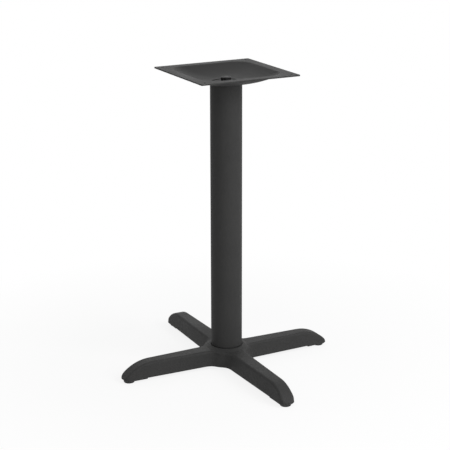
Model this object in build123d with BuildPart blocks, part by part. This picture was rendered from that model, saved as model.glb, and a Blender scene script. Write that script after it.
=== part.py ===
# Cast iron table base: a four-legged cross foot, a tube column and a dished top plate.
# Millimetres, +Z up. The origin is on the floor, on the axis of the column.
import os
from math import radians, sqrt, tan

from build123d import *

# Overall sizes
overall_height = 732.0  # floor to the rim of the top plate
spread_x = 562.0  # toe to toe along the short pair of legs
spread_y = 621.0  # toe to toe along the long pair of legs

# Column
column_diameter = 76.0
column_wall = 2.0

# Legs of the casting
leg_depth = 37.5  # lower rim to flat top
leg_root_width = 53.0  # at the column axis, over the lower edges
leg_toe_width = 38.5  # at the toe, over the lower edges
draft_angle = 6.3  # lean of the side walls
edge_radius = 6.0  # rounding along the top edges
cast_wall = 5.5
cast_roof = 6.0

# Toes of the casting
toe_run_x = 74.0  # length over which the top of a short leg curves down
toe_run_y = 62.0  # the same for a long leg
nose_rise = 4.5  # from the pad to where the toe's curve meets its end
toe_corner = 14.0  # plan radius of the toe's end
pad_length = 57.0
pad_bevel = 2.0  # along the pad's lower edge
pad_step = 3.0  # the toe pad stands this far below the leg's rim
block_land = 13.0  # solid iron between the toe pad and the hollow of the leg

# Hub of the casting
hub_land = 3.2  # from the foot of the collar to the outside of the hub
hub_blend = 28.0  # plan radius between hub and legs
collar_height = 4.5  # rise of the column seat above the legs
collar_land = 3.0  # width of the seat round the column
collar_slope = 14.0  # outward run of the collar's flank
collar_root = 2.5  # the collar's flank runs this far into the legs
socket_depth = 5.0
socket_clearance = 1.2
boss_drop = 5.0
boss_land = 5.0  # from the washer to the outside of the boss under the hub

# Top plate
plate_side = 254.0
plate_corner = 3.0
plate_thickness = 3.0
rim_width = 23.0
rim_bend = 6.0
dish_depth = 24.0
dish_mouth_corner = 40.0
dish_bulge = 4.0  # sag of the dish's wall below a straight cone
dish_steps = 4
floor_land = 8.0  # from the column to the edge of the dish's flat floor
floor_flat = 0.5  # half the straight stretch left in the round floor's outline
dimple_depth = 1.2
dimple_clearance = 0.5
screw_inset = 15.0  # from the plate's edges to the corner screw holes
screw_hole = 5.5

# Tie rod, nuts and washers
rod_diameter = 16.0
rod_chamfer = 1.0
rod_end = 0.5  # length that shows beyond each nut
rod_hole_clearance = 1.0
thread_clearance = 0.2
nut_flats = 24.0
nut_height = 8.0
nut_bevel = 30.0
washer_diameter = 30.0
washer_thickness = 3.0

# Levelling glides
glide_inset = 17.0  # from the toe's end to the glide's axis
foot_diameter = 26.0
foot_height = 6.5
foot_bevel = 1.5
stud_diameter = 8.0
stud_length = 12.0  # above the foot
stud_clearance = 0.3
stud_hole_spare = 1.5
head_diameter = 15.0
head_thickness = 2.5
head_cover = 2.0  # thickness of the foot below the stud's head
head_clearance = 0.1

# Radii worked out from the sizes
column_radius = column_diameter / 2
socket_radius = column_radius + socket_clearance
collar_top_radius = socket_radius + collar_land
collar_foot_radius = collar_top_radius + collar_slope
hub_radius = collar_foot_radius + hub_land
rod_hole_radius = rod_diameter / 2 + rod_hole_clearance
boss_radius = washer_diameter / 2 + boss_land
dimple_radius = column_radius - column_wall - dimple_clearance
dish_floor_half = column_radius + floor_land
dish_mouth_half = plate_side / 2 - rim_width
nut_corner_radius = nut_flats / sqrt(3)

# Levels and places worked out from the sizes
reach_x = spread_x / 2
reach_y = spread_y / 2
pad_level = foot_height
nose_level = pad_level + nose_rise
rim_level = pad_level + pad_step
leg_top = rim_level + leg_depth
roof_level = leg_top - cast_roof
boss_level = roof_level - boss_drop
seat_level = leg_top + collar_height
column_bottom = seat_level - socket_depth
rim_underside = overall_height - plate_thickness
column_top = rim_underside - dish_depth
dimple_level = column_top - dimple_depth
top_washer_level = dimple_level + plate_thickness
top_nut_level = top_washer_level + washer_thickness
bottom_washer_level = boss_level - washer_thickness
bottom_nut_level = bottom_washer_level - nut_height
rod_bottom = bottom_nut_level - rod_end
rod_top = top_nut_level + nut_height + rod_end
screw_pitch = plate_side - 2 * screw_inset
glide_x = reach_x - glide_inset
glide_y = reach_y - glide_inset
glide_places = [(glide_x, 0), (0, glide_y), (-glide_x, 0), (0, -glide_y)]
upright = (Align.CENTER, Align.CENTER, Align.MIN)
os.makedirs("parts", exist_ok=True)


def write_piece(piece, name):
    """Labels a finished piece and writes it to its own file."""
    piece.part.label = name
    export_step(piece.part, f"parts/{name}.step")


def draw_cross(inset, lengthening):
    """Plan of the cross foot, drawn in at the sides by inset and lengthened at the toes."""
    root = leg_root_width / 2 - inset
    toe = leg_toe_width / 2 - inset
    for reach, turn in ((reach_x + lengthening, 0), (reach_y + lengthening, 90)):
        corners = [(-reach, -toe), (0, -root), (reach, -toe), (reach, toe), (0, root), (-reach, toe)]
        Polygon(*corners, align=None, rotation=turn)
    Circle(hub_radius - inset)


def at_toe(vertex):
    """True for a corner of the plan at the end of a leg."""
    return max(abs(vertex.X) - reach_x, abs(vertex.Y) - reach_y) > -toe_corner


def dish_outline(share, lift):
    """Outline of the dish at a share of the way from its floor to its mouth, raised by lift."""
    half = dish_floor_half + (dish_mouth_half - dish_floor_half) * share
    straight = floor_flat + (dish_mouth_half - dish_mouth_corner - floor_flat) * share
    level = column_top + lift + dish_depth * share - 4 * dish_bulge * share * (1 - share)
    with BuildSketch(Plane.XY.offset(level)) as outline:
        RectangleRounded(2 * half, 2 * half, half - straight)
    return outline.sketch


def mouth_edges(piece, level):
    """Edges at a level of the plate that lie within its flat rim."""
    edges = piece.edges().filter_by_position(Axis.Z, level, level)
    half_limit = (dish_mouth_half + plate_side / 2) / 2
    return edges.filter_by(lambda edge: max(abs(edge.center().X), abs(edge.center().Y)) < half_limit)


# Cross foot: a drafted plan, trimmed by the side profile of each pair of legs
with BuildPart() as base_casting:
    with BuildSketch(Plane.XY.offset(pad_level)) as plan:
        draw_cross(0, 0)
        fillet(plan.vertices().group_by(SortBy.DISTANCE, tol_digits=3)[0], hub_blend)
        fillet(plan.vertices().filter_by(at_toe), toe_corner)
    extrude(amount=leg_top + edge_radius - pad_level, taper=draft_angle)
    above = leg_top + 2 * edge_radius
    for plane, reach, run in ((Plane.XZ, reach_x, toe_run_x), (Plane.YZ, reach_y, toe_run_y)):
        toe_start = reach - run
        outside = reach + 2 * edge_radius
        with BuildSketch(plane):
            with BuildLine():
                for side in (1, -1):
                    nose = (side * reach, nose_level)
                    TangentArc((side * toe_start, leg_top), nose, tangent=(side, 0))
                    Polyline(nose, (side * outside, nose_level), (side * outside, above))
                Line((-toe_start, leg_top), (toe_start, leg_top))
                Line((-outside, above), (outside, above))
            make_face()
    extrude(amount=hub_radius, both=True, mode=Mode.SUBTRACT)

    # Rounded top edges, from toe to toe round the hub
    leg_edges = base_casting.edges().group_by(Axis.Z)[-1]
    toe_edges = base_casting.faces().filter_by(GeomType.CYLINDER).edges()
    fillet((leg_edges - toe_edges) + (toe_edges - leg_edges), edge_radius)
    chamfer(base_casting.edges().group_by(Axis.Z)[0], pad_bevel)

    # Rims of the legs, raised above the toe pads
    with BuildSketch(Plane.XY.offset(pad_level)):
        Rectangle(2 * (reach_x - pad_length), 2 * (reach_y - pad_length))
    extrude(amount=pad_step, mode=Mode.SUBTRACT)

    # Collar round the column's foot
    with BuildSketch(Plane.XZ):
        with BuildLine():
            Polyline(
                (0, roof_level),
                (collar_foot_radius, roof_level),
                (collar_foot_radius, leg_top - collar_root),
                (collar_top_radius, seat_level),
                (0, seat_level),
                close=True,
            )
        make_face()
    revolve(axis=Axis.Z)

    # Hollow underside, with a boss for the tie rod
    with BuildSketch(Plane.XY.offset(pad_level)) as core:
        draw_cross(cast_wall, -pad_length - block_land)
        fillet(core.vertices().group_by(SortBy.DISTANCE, tol_digits=3)[0], hub_blend)
    extrude(amount=roof_level - pad_level, taper=draft_angle, mode=Mode.SUBTRACT)
    with Locations((0, 0, boss_level)):
        Cylinder(boss_radius, boss_drop, align=upright)

    # Socket for the column, rod hole and tapped holes for the glides
    with Locations((0, 0, seat_level)):
        CounterBoreHole(rod_hole_radius, socket_radius, socket_depth)
    with Locations(*[Plane((x, y, pad_level), z_dir=(0, 0, -1)) for x, y in glide_places]):
        Hole(stud_diameter / 2 + stud_clearance, stud_length + stud_hole_spare)
write_piece(base_casting, "base_casting")

# Column: plain round tube standing in the socket of the hub
with BuildPart() as column_tube:
    with BuildSketch(Plane.XY.offset(column_bottom)):
        Circle(column_radius)
        Circle(column_radius - column_wall, mode=Mode.SUBTRACT)
    extrude(amount=column_top - column_bottom)
write_piece(column_tube, "column_tube")

# Top plate: flat square rim round a dish that runs from rounded square to round
with BuildPart() as top_plate:
    shares = [step / dish_steps for step in range(dish_steps + 1)]
    loft(sections=[dish_outline(share, 0) for share in shares])
    with BuildSketch(Plane.XY.offset(rim_underside)):
        RectangleRounded(plate_side, plate_side, plate_corner)
    extrude(amount=plate_thickness)
    with Locations((0, 0, dimple_level)):
        Cylinder(dimple_radius, dimple_depth, align=upright)
    loft(sections=[dish_outline(share, plate_thickness) for share in shares], mode=Mode.SUBTRACT)
    fillet(mouth_edges(top_plate, overall_height), rim_bend + plate_thickness)
    fillet(mouth_edges(top_plate, rim_underside), rim_bend)
    with Locations((0, 0, column_top + plate_thickness)):
        CounterBoreHole(rod_hole_radius, dimple_radius - plate_thickness, dimple_depth)
    with Locations((0, 0, overall_height)):
        with GridLocations(screw_pitch, screw_pitch, 2, 2):
            Hole(screw_hole / 2, plate_thickness)
write_piece(top_plate, "top_plate")

# Tie rod through the hub, the column and the plate
with BuildPart() as tie_rod:
    with Locations((0, 0, rod_bottom)):
        Cylinder(rod_diameter / 2, rod_top - rod_bottom, align=upright)
    chamfer(tie_rod.edges().filter_by(GeomType.CIRCLE), rod_chamfer)
write_piece(tie_rod, "tie_rod")

# Washers under the nuts
for name, level in (("top_washer", top_washer_level), ("bottom_washer", bottom_washer_level)):
    with BuildPart() as washer:
        with BuildSketch(Plane.XY.offset(level)):
            Circle(washer_diameter / 2)
            Circle(rod_hole_radius, mode=Mode.SUBTRACT)
        extrude(amount=washer_thickness)
    write_piece(washer, name)

# Hexagon nuts, bevelled on both faces
for name, level in (("top_nut", top_nut_level), ("bottom_nut", bottom_nut_level)):
    bevel_rise = (nut_corner_radius - nut_flats / 2) * tan(radians(nut_bevel))
    with BuildPart() as nut:
        with BuildSketch(Plane.XY.offset(level)):
            RegularPolygon(nut_flats / 2, 6, major_radius=False)
        extrude(amount=nut_height)
        with BuildSketch(Plane.XZ):
            with BuildLine():
                Polyline(
                    (0, level),
                    (nut_flats / 2, level),
                    (nut_corner_radius, level + bevel_rise),
                    (nut_corner_radius, level + nut_height - bevel_rise),
                    (nut_flats / 2, level + nut_height),
                    (0, level + nut_height),
                    close=True,
                )
            make_face()
        revolve(axis=Axis.Z, mode=Mode.INTERSECT)
        with Locations((0, 0, level + nut_height)):
            Hole(rod_diameter / 2 + thread_clearance, nut_height)
    write_piece(nut, name)

# Glides: a threaded stud with its head held in a round foot
for number, (x, y) in enumerate(glide_places, start=1):
    with BuildPart() as glide_foot:
        with Locations((x, y, 0)):
            Cylinder(foot_diameter / 2, foot_height, align=upright)
        chamfer(glide_foot.edges().group_by(Axis.Z)[0], foot_bevel)
        with Locations((x, y, head_cover)):
            head_space = head_diameter / 2 + head_clearance
            Cylinder(head_space, head_thickness, align=upright, mode=Mode.SUBTRACT)
        with Locations((x, y, foot_height)):
            Hole(stud_diameter / 2 + head_clearance, foot_height - head_cover)
    write_piece(glide_foot, f"glide_foot_{number}")
    with BuildPart() as glide_stud:
        with Locations((x, y, head_cover)):
            Cylinder(head_diameter / 2, head_thickness, align=upright)
            Cylinder(stud_diameter / 2, foot_height + stud_length - head_cover, align=upright)
    write_piece(glide_stud, f"glide_stud_{number}")
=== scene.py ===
import math

import bmesh
import bpy
from mathutils import Matrix, Vector


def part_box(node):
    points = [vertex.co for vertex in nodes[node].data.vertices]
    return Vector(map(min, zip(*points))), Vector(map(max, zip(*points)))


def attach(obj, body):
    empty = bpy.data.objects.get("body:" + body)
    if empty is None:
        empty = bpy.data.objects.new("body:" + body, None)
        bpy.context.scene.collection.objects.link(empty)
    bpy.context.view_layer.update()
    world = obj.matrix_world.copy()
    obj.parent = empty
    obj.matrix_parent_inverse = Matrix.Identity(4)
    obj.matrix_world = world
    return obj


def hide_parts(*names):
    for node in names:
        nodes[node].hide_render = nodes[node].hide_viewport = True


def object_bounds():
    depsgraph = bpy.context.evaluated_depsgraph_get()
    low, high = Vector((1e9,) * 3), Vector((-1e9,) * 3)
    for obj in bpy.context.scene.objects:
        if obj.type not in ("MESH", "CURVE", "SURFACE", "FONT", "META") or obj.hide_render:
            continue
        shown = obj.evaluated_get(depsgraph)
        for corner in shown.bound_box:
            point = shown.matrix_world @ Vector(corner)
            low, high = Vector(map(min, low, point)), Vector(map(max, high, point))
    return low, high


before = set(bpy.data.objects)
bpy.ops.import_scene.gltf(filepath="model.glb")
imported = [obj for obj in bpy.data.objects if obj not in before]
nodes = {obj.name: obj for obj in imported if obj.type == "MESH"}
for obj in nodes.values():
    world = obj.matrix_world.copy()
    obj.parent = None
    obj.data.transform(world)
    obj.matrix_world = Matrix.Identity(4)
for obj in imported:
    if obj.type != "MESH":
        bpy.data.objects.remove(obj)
cadLow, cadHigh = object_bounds()
print("frame loaded:", len(nodes), "pieces")

mm = 0.001
levelGap = 0.001 * mm  # corners this close in height are level
mergeGap = 0.002 * mm  # corners this close are merged after a cut
cutOver = 1.0 * mm  # how far a cutting tool goes past the face it cuts
smoothAngle = 25.0  # degrees, sharper edges stay sharp


# small helpers for working as by hand

def leaveEdit():
    bpy.ops.object.mode_set(mode="OBJECT")


def deselectAll():
    if bpy.context.object and bpy.context.object.mode != "OBJECT":
        leaveEdit()
    bpy.ops.object.select_all(action="DESELECT")


def pick(obj):
    deselectAll()
    obj.select_set(True)
    bpy.context.view_layer.objects.active = obj


def bakePlace(obj):  # puts the place into the mesh, so the object stays at the origin
    pick(obj)
    bpy.ops.object.transform_apply(location=True, rotation=True, scale=True)


def addCylinder(name, radius, low, high, sides, turn=0.0):
    deselectAll()
    middle = (0, 0, (low + high) / 2)
    bpy.ops.mesh.primitive_cylinder_add(
        vertices=sides, radius=radius, depth=high - low, location=middle, rotation=(0, 0, turn)
    )
    obj = bpy.context.object
    obj.name = name
    bakePlace(obj)
    return obj


# goes into edit mode with the faces or edges that pass the test selected
def edit(obj, kind, test):
    pick(obj)
    bpy.ops.object.mode_set(mode="EDIT")
    bpy.ops.mesh.select_mode(type=kind)
    bpy.ops.mesh.select_all(action="DESELECT")
    mesh = bmesh.from_edit_mesh(obj.data)
    for item in mesh.faces if kind == "FACE" else mesh.edges:
        item.select_set(test(item))
    bmesh.update_edit_mesh(obj.data)


def atLevel(level):  # a test for faces and edges that lie flat at a height
    return lambda item: all(abs(vertex.co.z - level) < levelGap for vertex in item.verts)


def atRim(level, reach):  # a test for edges that lie flat at a height, near the axis
    return lambda edge: atLevel(level)(edge) and edge.verts[0].co.xy.length < reach


def extrudeUp(step):
    bpy.ops.mesh.extrude_region_move(TRANSFORM_OT_translate={"value": (0, 0, step)})


def bevelLoop(obj, level, width, steps=1):
    edit(obj, "EDGE", atLevel(level))
    bpy.ops.mesh.bevel(offset=width, offset_type="OFFSET", segments=steps, affect="EDGES")
    leaveEdit()


def applyModifier(obj, kind, **settings):
    pick(obj)
    modifier = obj.modifiers.new(kind.lower(), kind)
    for key, value in settings.items():
        setattr(modifier, key, value)
    bpy.ops.object.modifier_apply(modifier=modifier.name)


def cutWith(obj, tool, operation="DIFFERENCE"):
    applyModifier(obj, "BOOLEAN", object=tool, operation=operation, solver="EXACT")
    bpy.data.objects.remove(tool)
    edit(obj, "FACE", lambda face: True)
    bpy.ops.mesh.remove_doubles(threshold=mergeGap)  # the cut can leave corners on top of each other
    leaveEdit()


def smoothEdges(obj):
    pick(obj)
    bpy.ops.object.shade_smooth_by_angle(angle=math.radians(smoothAngle))


def copyTo(obj, name, offset):  # a copy with its own mesh, moved in the mesh
    twin = obj.copy()
    twin.data = obj.data.copy()
    twin.name = name
    bpy.context.scene.collection.objects.link(twin)
    twin.data.transform(Matrix.Translation(offset))
    return twin


def halfWidth(low, high):
    return (high.x - low.x) / 2


def settle(obj, node, body, material):  # a finished piece takes its node's place
    obj.data.materials.clear()
    obj.data.materials.append(material)
    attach(obj, body)
    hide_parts(node)


# shader node helpers

def addNode(tree, kind, **settings):
    node = tree.nodes.new(kind)
    for key, value in settings.items():
        setattr(node, key, value)
    return node


def feed(tree, socket, value):  # links a socket, or sets it where the value is a number
    if isinstance(value, (int, float)):
        socket.default_value = value
    else:
        tree.links.new(value, socket)


def addMath(tree, operation, first, second):
    node = addNode(tree, "ShaderNodeMath", operation=operation)
    feed(tree, node.inputs[0], first)
    feed(tree, node.inputs[1], second)
    return node.outputs[0]


def addRange(tree, value, low=0.0, high=1.0, newLow=0.0, newHigh=1.0):
    node = addNode(tree, "ShaderNodeMapRange")
    names = ("Value", "From Min", "From Max", "To Min", "To Max")
    for name, number in zip(names, (value, low, high, newLow, newHigh)):
        feed(tree, node.inputs[name], number)
    return node.outputs["Result"]


def addNoise(tree, vector, scale, detail):
    node = addNode(tree, "ShaderNodeTexNoise")
    node.inputs["Detail"].default_value = detail
    tree.links.new(vector, node.inputs["Vector"])
    feed(tree, node.inputs["Scale"], scale)
    return node.outputs["Fac"]


def mixColour(tree, factor, first, second):
    node = addNode(tree, "ShaderNodeMix", data_type="RGBA")
    tree.links.new(factor, node.inputs["Factor"])
    ends = [socket for socket in node.inputs if socket.type == "RGBA"]
    for socket, value in zip(ends, (first, second)):
        if isinstance(value, tuple):
            socket.default_value = (*value, 1.0)
        else:
            tree.links.new(value, socket)
    return next(socket for socket in node.outputs if socket.type == "RGBA")


def startGroup(name, inputs, outputs):
    tree = bpy.data.node_groups.new(name, "ShaderNodeTree")
    for label, value in inputs.items():
        socket = tree.interface.new_socket(label, in_out="INPUT", socket_type="NodeSocketFloat")
        socket.default_value = value
    for label in outputs:
        tree.interface.new_socket(label, in_out="OUTPUT", socket_type="NodeSocketFloat")
    return tree, tree.nodes.new("NodeGroupInput").outputs, tree.nodes.new("NodeGroupOutput").inputs


def placeGroup(tree, group, values):
    node = addNode(tree, "ShaderNodeGroup", node_tree=group)
    for label, value in values.items():
        node.inputs[label].default_value = value
    return node.outputs


def startMaterial(name, look):
    material = bpy.data.materials.new(name)
    material.use_nodes = True
    shader = material.node_tree.nodes["Principled BSDF"]
    shader.inputs["Specular IOR Level"].default_value = look["specular"]
    return material, material.node_tree, shader


def addBump(tree, shader, height, look):
    bump = addNode(tree, "ShaderNodeBump")
    bump.inputs["Strength"].default_value = look["bumpStrength"]
    bump.inputs["Distance"].default_value = look["bumpDepth"]
    tree.links.new(height, bump.inputs["Height"])
    tree.links.new(bump.outputs["Normal"], shader.inputs["Normal"])


# cured powder: fine orange peel over a slower unevenness of the metal below

powderShape = {
    "inputs": {"Peel Scale": 800.0, "Wave Scale": 60.0, "Wave Share": 0.3},
    "peelDetail": 2.0,
    "waveDetail": 3.0,
    "patchScale": 14.0,
    "patchDetail": 4.0,
    "noiseLow": 0.3,  # the noise between these two is spread over 0 to 1
    "noiseHigh": 0.7,
}


def makePowderGroup():
    tree, given, out = startGroup("powderCoat", powderShape["inputs"], ("Height", "Tone", "Patch"))
    where = addNode(tree, "ShaderNodeTexCoord").outputs["Object"]
    peel = addNoise(tree, where, given["Peel Scale"], powderShape["peelDetail"])
    wave = addNoise(tree, where, given["Wave Scale"], powderShape["waveDetail"])
    patch = addNoise(tree, where, powderShape["patchScale"], powderShape["patchDetail"])
    waved = addMath(tree, "MULTIPLY", wave, given["Wave Share"])
    tree.links.new(addMath(tree, "ADD", peel, waved), out["Height"])
    for noise, label in ((peel, "Tone"), (patch, "Patch")):
        spread = addRange(tree, noise, powderShape["noiseLow"], powderShape["noiseHigh"])
        tree.links.new(spread, out[label])
    return tree


# worn thin places along edges, painted lighter both as wear and as a painted highlight, found where a
# rounded normal leaves the true one

edgeWearAndHighlightShape = {
    "inputs": {"Width": 0.002, "Breakup Scale": 180.0, "Amount": 1.0},
    "samples": 6,
    "startsAt": 0.995,  # how well the two normals agree where the worn and highlighted edge starts, and where it is full
    "fullAt": 0.8,
    "breakupDetail": 4.0,
    "breakupLow": 0.35,
    "breakupHigh": 0.65,
    "leastShare": 0.25,  # of the worn and highlighted edge, where it is most broken up
}


def makeEdgeWearAndHighlightGroup():
    tree, given, out = startGroup("edgeWearAndHighlight", edgeWearAndHighlightShape["inputs"], ("Mask",))
    where = addNode(tree, "ShaderNodeTexCoord").outputs["Object"]
    rounded = addNode(tree, "ShaderNodeBevel", samples=edgeWearAndHighlightShape["samples"])
    tree.links.new(given["Width"], rounded.inputs["Radius"])
    geometry = addNode(tree, "ShaderNodeNewGeometry")
    agree = addNode(tree, "ShaderNodeVectorMath", operation="DOT_PRODUCT")
    tree.links.new(rounded.outputs["Normal"], agree.inputs[0])
    tree.links.new(geometry.outputs["Normal"], agree.inputs[1])
    edge = addRange(tree, agree.outputs["Value"], edgeWearAndHighlightShape["startsAt"], edgeWearAndHighlightShape["fullAt"])
    noise = addNoise(tree, where, given["Breakup Scale"], edgeWearAndHighlightShape["breakupDetail"])
    broken = addRange(
        tree, noise, edgeWearAndHighlightShape["breakupLow"], edgeWearAndHighlightShape["breakupHigh"], edgeWearAndHighlightShape["leastShare"]
    )
    mask = addMath(tree, "MULTIPLY", addMath(tree, "MULTIPLY", edge, broken), given["Amount"])
    tree.links.new(mask, out["Mask"])
    return tree


# painted shade: colour darkened in joints and corners, where little of the open air reaches

paintedShadeShape = {
    "inputs": {"Reach": 0.008, "Amount": 1.0},
    "samples": 8,
    "startsAt": 0.8,  # how open a place is where the painted shade starts, and where it is full
    "fullAt": 0.35,
}


def makePaintedShadeGroup():
    tree, given, out = startGroup("paintedCreviceShade", paintedShadeShape["inputs"], ("Mask",))
    # painted shade: ambient occlusion finds the joints and corners that are darkened
    shelter = addNode(tree, "ShaderNodeAmbientOcclusion", samples=paintedShadeShape["samples"])
    tree.links.new(given["Reach"], shelter.inputs["Distance"])
    closed = addRange(tree, shelter.outputs["AO"], paintedShadeShape["startsAt"], paintedShadeShape["fullAt"])
    tree.links.new(addMath(tree, "MULTIPLY", closed, given["Amount"]), out["Mask"])
    return tree


powderGroup = makePowderGroup()
edgeWearAndHighlightGroup = makeEdgeWearAndHighlightGroup()
paintedShadeGroup = makePaintedShadeGroup()


# black powder coat, on iron and on steel

def makeCoat(name, look):
    material, tree, shader = startMaterial(name, look)
    powder = placeGroup(tree, powderGroup, look["powder"])
    # worn edges with a painted highlight: a mask along the edges
    edge = placeGroup(tree, edgeWearAndHighlightGroup, look["edge"])["Mask"]
    # painted shade: a mask from ambient occlusion that darkens joints and corners
    paintedShade = placeGroup(tree, paintedShadeGroup, look["paintedShade"])["Mask"]
    toned = mixColour(tree, powder["Tone"], look["deep"], look["pale"])
    share = addRange(tree, powder["Patch"], newHigh=look["patchShare"])
    patched = mixColour(tree, share, toned, look["patch"])
    # edges are lightened, partly as wear and partly as a painted highlight
    wornAndHighlighted = mixColour(tree, edge, patched, look["edgeWearAndHighlightColour"])
    # the colour is darkened to painted shade in joints and corners
    shadePainted = mixColour(tree, paintedShade, wornAndHighlighted, look["paintedShadeColour"])
    tree.links.new(shadePainted, shader.inputs["Base Color"])
    rough = addRange(tree, powder["Patch"], newLow=look["roughLow"], newHigh=look["roughHigh"])
    shine = addMath(tree, "MULTIPLY", edge, look["edgeShine"])
    tree.links.new(addMath(tree, "SUBTRACT", rough, shine), shader.inputs["Roughness"])
    addBump(tree, shader, powder["Height"], look)
    return material


castLook = {
    "powder": {"Peel Scale": 480.0, "Wave Scale": 65.0, "Wave Share": 1.4},
    "edge": {"Width": 0.0025, "Breakup Scale": 160.0, "Amount": 0.5},
    "paintedShade": {"Reach": 0.008, "Amount": 0.9},
    "deep": (0.021, 0.021, 0.021),
    "pale": (0.032, 0.032, 0.0315),
    "patch": (0.037, 0.0365, 0.036),
    "patchShare": 0.5,
    # the lighter colour of worn edges and their painted highlight
    "edgeWearAndHighlightColour": (0.055, 0.054, 0.052),
    # the colour of the painted shade in joints and corners
    "paintedShadeColour": (0.006, 0.006, 0.006),
    "roughLow": 0.56,
    "roughHigh": 0.68,
    "edgeShine": 0.06,
    "bumpStrength": 0.7,
    "bumpDepth": 1.0 * mm,
    "specular": 0.18,
}
castCoat = makeCoat("castIronCoat", castLook)

steelLook = {
    "powder": {"Peel Scale": 900.0, "Wave Scale": 30.0, "Wave Share": 0.35},
    "edge": {"Width": 0.0012, "Breakup Scale": 220.0, "Amount": 0.4},
    "paintedShade": {"Reach": 0.008, "Amount": 0.9},
    "deep": (0.029, 0.029, 0.029),
    "pale": (0.0405, 0.0405, 0.04),
    "patch": (0.046, 0.0455, 0.045),
    "patchShare": 0.4,
    # the lighter colour of worn edges and their painted highlight
    "edgeWearAndHighlightColour": (0.055, 0.054, 0.052),
    # the colour of the painted shade in joints and corners
    "paintedShadeColour": (0.006, 0.006, 0.006),
    "roughLow": 0.54,
    "roughHigh": 0.62,
    "edgeShine": 0.06,
    "bumpStrength": 0.4,
    "bumpDepth": 0.4 * mm,
    "specular": 0.07,
}
steelCoat = makeCoat("steelCoat", steelLook)
print("coats mixed")


# plated, blackened and moulded finishes of the fasteners and glides

def makeFinish(name, look):
    material, tree, shader = startMaterial(name, look)
    powder = placeGroup(tree, powderGroup, look["grain"])
    toned = mixColour(tree, powder["Patch"], look["deep"], look["pale"])
    tree.links.new(toned, shader.inputs["Base Color"])
    rough = addRange(tree, powder["Tone"], newLow=look["roughLow"], newHigh=look["roughHigh"])
    tree.links.new(rough, shader.inputs["Roughness"])
    shader.inputs["Metallic"].default_value = look["metal"]
    addBump(tree, shader, powder["Height"], look)
    return material


zincLook = {
    "grain": {"Peel Scale": 1400.0, "Wave Scale": 90.0, "Wave Share": 0.5},
    "deep": (0.36, 0.36, 0.35),
    "pale": (0.46, 0.46, 0.45),
    "roughLow": 0.30,
    "roughHigh": 0.42,
    "metal": 1.0,
    "bumpStrength": 0.2,
    "bumpDepth": 0.1 * mm,
    "specular": 0.5,
}
zincSteel = makeFinish("zincSteel", zincLook)

oxideLook = {
    "grain": {"Peel Scale": 1200.0, "Wave Scale": 120.0, "Wave Share": 0.8},
    "deep": (0.007, 0.007, 0.007),
    "pale": (0.012, 0.012, 0.012),
    "roughLow": 0.46,
    "roughHigh": 0.60,
    "metal": 0.0,
    "bumpStrength": 0.25,
    "bumpDepth": 0.15 * mm,
    "specular": 0.12,
}
blackOxide = makeFinish("blackOxide", oxideLook)

nylonLook = {
    "grain": {"Peel Scale": 500.0, "Wave Scale": 150.0, "Wave Share": 0.6},
    "deep": (0.022, 0.022, 0.022),
    "pale": (0.030, 0.030, 0.030),
    "roughLow": 0.50,
    "roughHigh": 0.62,
    "metal": 0.0,
    "bumpStrength": 0.2,
    "bumpDepth": 0.2 * mm,
    "specular": 0.3,
}
blackNylon = makeFinish("blackNylon", nylonLook)
print("finishes mixed")


def dress(names, material):
    for name in names:
        slots = nodes[name].data.materials
        slots.clear()
        slots.append(material)


dress(["base_casting"], castCoat)
dress(["column_tube", "top_plate"], steelCoat)


# screw threads: a three-sided tool is wound up the bar and cut away from it

def cutThread(bar, radius, start, end, look):
    toolRadius = (look["depth"] + look["proud"]) / 1.5  # a three-sided tool is 1.5 radii deep
    deselectAll()
    bpy.ops.mesh.primitive_circle_add(
        vertices=3,
        radius=toolRadius,
        location=(radius - look["depth"] + toolRadius, 0, start),
        rotation=(0, -math.pi / 2, math.pi / 2),
    )
    groove = bpy.context.object
    bakePlace(groove)
    turns = round((end - start) / look["pitch"])
    applyModifier(
        groove, "SCREW", axis="Z", screw_offset=look["pitch"], iterations=turns,
        steps=look["steps"], render_steps=look["steps"], use_merge_vertices=False,
    )
    middle = (start + end) / 2
    for side in (-1, 1):  # the tool's two open ends are closed
        edit(
            groove, "EDGE",
            lambda edge: edge.is_boundary and (edge.verts[0].co.z - middle) * side > 0,
        )
        bpy.ops.mesh.edge_face_add()
    bpy.ops.mesh.select_all(action="SELECT")
    bpy.ops.mesh.normals_make_consistent(inside=False)
    leaveEdit()
    cutWith(bar, groove)


rodLook = {
    "sides": 48,
    "chamfer": 1.0 * mm,
    "threadLength": 45.3 * mm,
    "runOut": 2.7 * mm,  # the cut starts this far below the rod, and at the top ends this far above it
    "thread": {"pitch": 2.0 * mm, "depth": 1.2 * mm, "proud": 0.3 * mm, "steps": 24},
}


def makeTieRod():
    low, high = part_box("tie_rod")
    radius = halfWidth(low, high)
    rod = addCylinder("tieRod", radius, low.z, high.z, rodLook["sides"])
    for level in (low.z, high.z):
        bevelLoop(rod, level, rodLook["chamfer"])
    cutLength = rodLook["threadLength"] + rodLook["runOut"]
    for start in (low.z - rodLook["runOut"], high.z - rodLook["threadLength"]):
        cutThread(rod, radius, start, start + cutLength, rodLook["thread"])
    smoothEdges(rod)
    settle(rod, "tie_rod", "frame", blackOxide)


makeTieRod()
print("tie rod threaded")


# hexagon nuts: a six-sided block, turned to cones on both faces, then bored

nutLook = {
    "corners": 6,
    "sides": 72,
    "bevelSlope": 30.0,
    "boreBevel": 0.8 * mm,
    "boreClearance": 0.2 * mm,
    "rimReach": 0.1 * mm,  # edges this close to the bore are its rim
}


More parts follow.
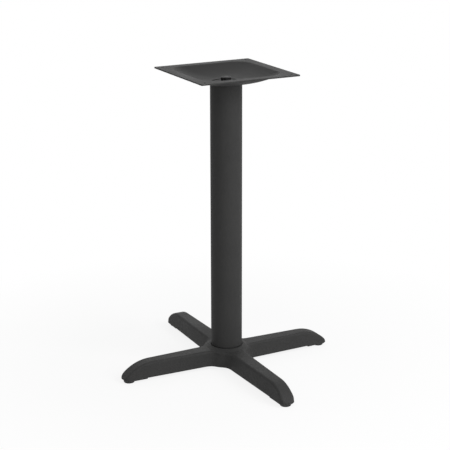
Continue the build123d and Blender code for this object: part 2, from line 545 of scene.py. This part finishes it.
def makeNut(name, node):
    low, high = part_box(node)
    corner = halfWidth(low, high)  # a corner lies on X and a flat faces Y
    flat = (high.y - low.y) / 2
    turn = math.pi / nutLook["corners"]
    nut = addCylinder(name, corner, low.z, high.z, nutLook["corners"], turn)
    rise = (corner - flat) * math.tan(math.radians(nutLook["bevelSlope"]))
    turned = addCylinder("turnedNut", corner, low.z + rise, high.z - rise, nutLook["sides"])
    shrink = flat / corner
    for level, step in ((low.z + rise, -rise), (high.z - rise, rise)):
        edit(turned, "FACE", atLevel(level))
        extrudeUp(step)
        bpy.ops.transform.resize(value=(shrink, shrink, 1))
        leaveEdit()
    cutWith(nut, turned, "INTERSECT")
    rodLow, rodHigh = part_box("tie_rod")
    bore = halfWidth(rodLow, rodHigh) + nutLook["boreClearance"]
    drill = addCylinder("nutBore", bore, low.z - cutOver, high.z + cutOver, nutLook["sides"])
    cutWith(nut, drill)
    for level in (low.z, high.z):
        edit(nut, "EDGE", atRim(level, bore + nutLook["rimReach"]))
        bpy.ops.mesh.bevel(offset=nutLook["boreBevel"], segments=1, affect="EDGES")
        leaveEdit()
    smoothEdges(nut)
    settle(nut, node, "frame", blackOxide)


makeNut("topNut", "top_nut")
makeNut("bottomNut", "bottom_nut")


washerLook = {
    "sides": 72,
    "edgeRound": 0.5 * mm,
    "roundSteps": 2,
    "holeClearance": 1.0 * mm,
}


def makeWasher(name, node):
    low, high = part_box(node)
    washer = addCylinder(name, halfWidth(low, high), low.z, high.z, washerLook["sides"])
    rodLow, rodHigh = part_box("tie_rod")
    hole = halfWidth(rodLow, rodHigh) + washerLook["holeClearance"]
    punch = addCylinder("washerHole", hole, low.z - cutOver, high.z + cutOver, washerLook["sides"])
    cutWith(washer, punch)
    for level in (low.z, high.z):
        bevelLoop(washer, level, washerLook["edgeRound"], washerLook["roundSteps"])
    smoothEdges(washer)
    settle(washer, node, "frame", blackOxide)


makeWasher("topWasher", "top_washer")
makeWasher("bottomWasher", "bottom_washer")
print("nuts and washers turned")


# levelling glides: one is made at the origin, and copied under each toe

glideNumbers = (1, 2, 3, 4)
studLook = {
    "sides": 32,
    "headHeight": 2.5 * mm,
    "shankRadius": 4.0 * mm,
    "chamfer": 0.8 * mm,
    "threadStart": 1.1 * mm,  # above the foot
    "thread": {"pitch": 1.25 * mm, "depth": 0.75 * mm, "proud": 0.2 * mm, "steps": 20},
}
footLook = {
    "sides": 64,
    "floorRound": 1.6 * mm,
    "floorSteps": 4,
    "topRound": 0.5 * mm,
    "topSteps": 2,
    "treadInset": 3.2 * mm,
    "treadDepth": 0.5 * mm,
    "clearance": 0.1 * mm,
}


def makeStud():
    low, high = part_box("glide_stud_1")
    headRadius = halfWidth(low, high)
    neck = low.z + studLook["headHeight"]
    stud = addCylinder("glideStud", headRadius, low.z, neck, studLook["sides"])
    edit(stud, "FACE", atLevel(neck))
    bpy.ops.mesh.inset(thickness=headRadius - studLook["shankRadius"])
    extrudeUp(high.z - neck)
    leaveEdit()
    bevelLoop(stud, high.z, studLook["chamfer"])
    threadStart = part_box("glide_foot_1")[1].z + studLook["threadStart"]
    threadEnd = high.z + studLook["thread"]["pitch"]
    cutThread(stud, studLook["shankRadius"], threadStart, threadEnd, studLook["thread"])
    smoothEdges(stud)
    return stud


def makeFoot():
    low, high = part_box("glide_foot_1")
    foot = addCylinder("glideFoot", halfWidth(low, high), low.z, high.z, footLook["sides"])
    bevelLoop(foot, low.z, footLook["floorRound"], footLook["floorSteps"])
    bevelLoop(foot, high.z, footLook["topRound"], footLook["topSteps"])
    edit(foot, "FACE", atLevel(low.z))
    bpy.ops.mesh.inset(thickness=footLook["treadInset"])
    extrudeUp(footLook["treadDepth"])
    leaveEdit()
    studLow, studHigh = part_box("glide_stud_1")
    headTop = studLow.z + studLook["headHeight"]
    headSpace = halfWidth(studLow, studHigh) + footLook["clearance"]
    shankSpace = studLook["shankRadius"] + footLook["clearance"]
    shankTool = addCylinder(
        "shankHole", shankSpace, studLow.z + cutOver, high.z + cutOver, footLook["sides"]
    )
    cutWith(foot, shankTool)
    cutWith(foot, addCylinder("headHole", headSpace, studLow.z, headTop, footLook["sides"]))
    smoothEdges(foot)
    return foot


firstStud, firstFoot = makeStud(), makeFoot()
for number in glideNumbers:
    low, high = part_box(f"glide_foot_{number}")
    place = Vector(((low.x + high.x) / 2, (low.y + high.y) / 2, 0))
    stud = copyTo(firstStud, f"glideStud{number}", place)
    foot = copyTo(firstFoot, f"glideFoot{number}", place)
    settle(stud, f"glide_stud_{number}", f"glide_{number}", zincSteel)
    settle(foot, f"glide_foot_{number}", f"glide_{number}", blackNylon)
for first in (firstStud, firstFoot):
    bpy.data.objects.remove(first)
print("glides fitted")


# floor, background and light

stageLook = {
    "floorRadius": 14.0,
    "floorSides": 96,
    "floorColour": (0.9, 0.9, 0.9),
    "glowNear": 0.86,  # share of the floor's own glow close to the foot, and far from it
    "glowFar": 1.0,
    "nearRadius": 0.35,
    "farRadius": 0.9,
    "glowStrength": 1.0,
    "backColour": (1.0, 1.0, 1.0),
    "backStrength": 1.0,  # as the eye meets it
    "ambient": 0.40,  # as it lights the base
}
softboxes = {  # degrees from the front and from level, metres and watts
    "keySoftbox": {
        "azimuth": 30.0, "elevation": 30.0, "distance": 2.6, "size": (1.4, 1.6), "power": 49.0,
    },
    "fillSoftbox": {
        "azimuth": -30.0, "elevation": 25.0, "distance": 2.8, "size": (1.6, 1.6), "power": 11.5,
    },
    "backSoftbox": {
        "azimuth": 155.0, "elevation": 36.0, "distance": 2.6, "size": (1.6, 1.6), "power": 8.7,
    },
}


def seenByEye(tree):  # 1 for rays that should meet the white background
    path = addNode(tree, "ShaderNodeLightPath").outputs
    seen = addMath(tree, "MAXIMUM", path["Is Camera Ray"], path["Is Glossy Ray"])
    return addMath(tree, "MAXIMUM", seen, path["Is Transmission Ray"])


def makeFloor():
    deselectAll()
    bpy.ops.mesh.primitive_circle_add(
        vertices=stageLook["floorSides"], radius=stageLook["floorRadius"], fill_type="NGON"
    )
    floor = bpy.context.object
    floor.name = "studioFloor"
    material = bpy.data.materials.new("paleFloor")
    material.use_nodes = True
    tree = material.node_tree
    tree.nodes.remove(tree.nodes["Principled BSDF"])
    matt = addNode(tree, "ShaderNodeBsdfDiffuse")
    matt.inputs["Color"].default_value = (*stageLook["floorColour"], 1.0)
    glow = addNode(tree, "ShaderNodeEmission")
    glow.inputs["Strength"].default_value = stageLook["glowStrength"]
    away = addNode(tree, "ShaderNodeVectorMath", operation="LENGTH")
    tree.links.new(addNode(tree, "ShaderNodeTexCoord").outputs["Object"], away.inputs[0])
    share = addRange(
        tree, away.outputs["Value"], stageLook["nearRadius"], stageLook["farRadius"],
        stageLook["glowNear"], stageLook["glowFar"],
    )
    lit = addNode(tree, "ShaderNodeMixShader")
    tree.links.new(addMath(tree, "MULTIPLY", seenByEye(tree), share), lit.inputs["Fac"])
    tree.links.new(matt.outputs["BSDF"], lit.inputs[1])
    tree.links.new(glow.outputs["Emission"], lit.inputs[2])
    clear = addNode(tree, "ShaderNodeBsdfTransparent")
    facing = addNode(tree, "ShaderNodeNewGeometry").outputs
    oneSided = addNode(tree, "ShaderNodeMixShader")  # open from below, to show the underside
    tree.links.new(facing["Backfacing"], oneSided.inputs["Fac"])
    tree.links.new(lit.outputs["Shader"], oneSided.inputs[1])
    tree.links.new(clear.outputs["BSDF"], oneSided.inputs[2])
    tree.links.new(oneSided.outputs["Shader"], tree.nodes["Material Output"].inputs["Surface"])
    floor.data.materials.append(material)


def makeWorld():
    world = bpy.data.worlds.new("studioWorld")
    world.use_nodes = True
    tree = world.node_tree
    back = tree.nodes["Background"]
    back.inputs["Color"].default_value = (*stageLook["backColour"], 1.0)
    strength = addRange(
        tree, seenByEye(tree), newLow=stageLook["ambient"], newHigh=stageLook["backStrength"]
    )
    tree.links.new(strength, back.inputs["Strength"])
    bpy.context.scene.world = world


def wayOut(azimuth, elevation):  # a step of length 1 out from the middle
    turn, rise = math.radians(azimuth), math.radians(elevation)
    flat = math.cos(rise)
    return Vector((math.sin(turn) * flat, -math.cos(turn) * flat, math.sin(rise)))


def addSoftbox(name, look):
    away = wayOut(look["azimuth"], look["elevation"])
    lamp = bpy.data.lights.new(name, "AREA")
    lamp.shape = "RECTANGLE"
    lamp.size, lamp.size_y = look["size"]
    lamp.energy = look["power"]
    box = bpy.data.objects.new(name, lamp)
    bpy.context.scene.collection.objects.link(box)
    middle = (cadLow + cadHigh) / 2
    box.location = middle + away * look["distance"]
    box.rotation_mode = "QUATERNION"
    box.rotation_quaternion = away.to_track_quat("Z", "Y")


makeFloor()
makeWorld()
for name, look in softboxes.items():
    addSoftbox(name, look)
bpy.context.scene.view_settings.view_transform = "Standard"
print("stage lit")


# camera at the photograph's place

cameraLook = {
    "azimuth": -27.482,
    "elevation": 16.669,
    "roll": -0.122,
    "distance": 3.3444,
    "aimHeight": 0.35598,
    "sideStep": -0.00324,
    "focalPixels": 1385.53,
    "picturePixels": 450,
    "sensorWidth": 36.0,
}


def makeCamera():
    back = wayOut(cameraLook["azimuth"], cameraLook["elevation"])
    turn, roll = math.radians(cameraLook["azimuth"]), math.radians(cameraLook["roll"])
    level = Vector((math.cos(turn), math.sin(turn), 0))
    upright = back.cross(level)
    right = level * math.cos(roll) + upright * math.sin(roll)
    up = back.cross(right)
    eye = Vector((0, 0, cameraLook["aimHeight"])) + back * cameraLook["distance"]
    eye += right * cameraLook["sideStep"]
    data = bpy.data.cameras.new("photoCamera")
    data.sensor_width = cameraLook["sensorWidth"]
    data.lens = data.sensor_width * cameraLook["focalPixels"] / cameraLook["picturePixels"]
    camera = bpy.data.objects.new("photoCamera", data)
    bpy.context.scene.collection.objects.link(camera)
    axes = Matrix((right, up, back)).transposed().to_4x4()
    camera.matrix_world = Matrix.Translation(eye) @ axes
    bpy.context.scene.camera = camera


makeCamera()
print("camera placed")
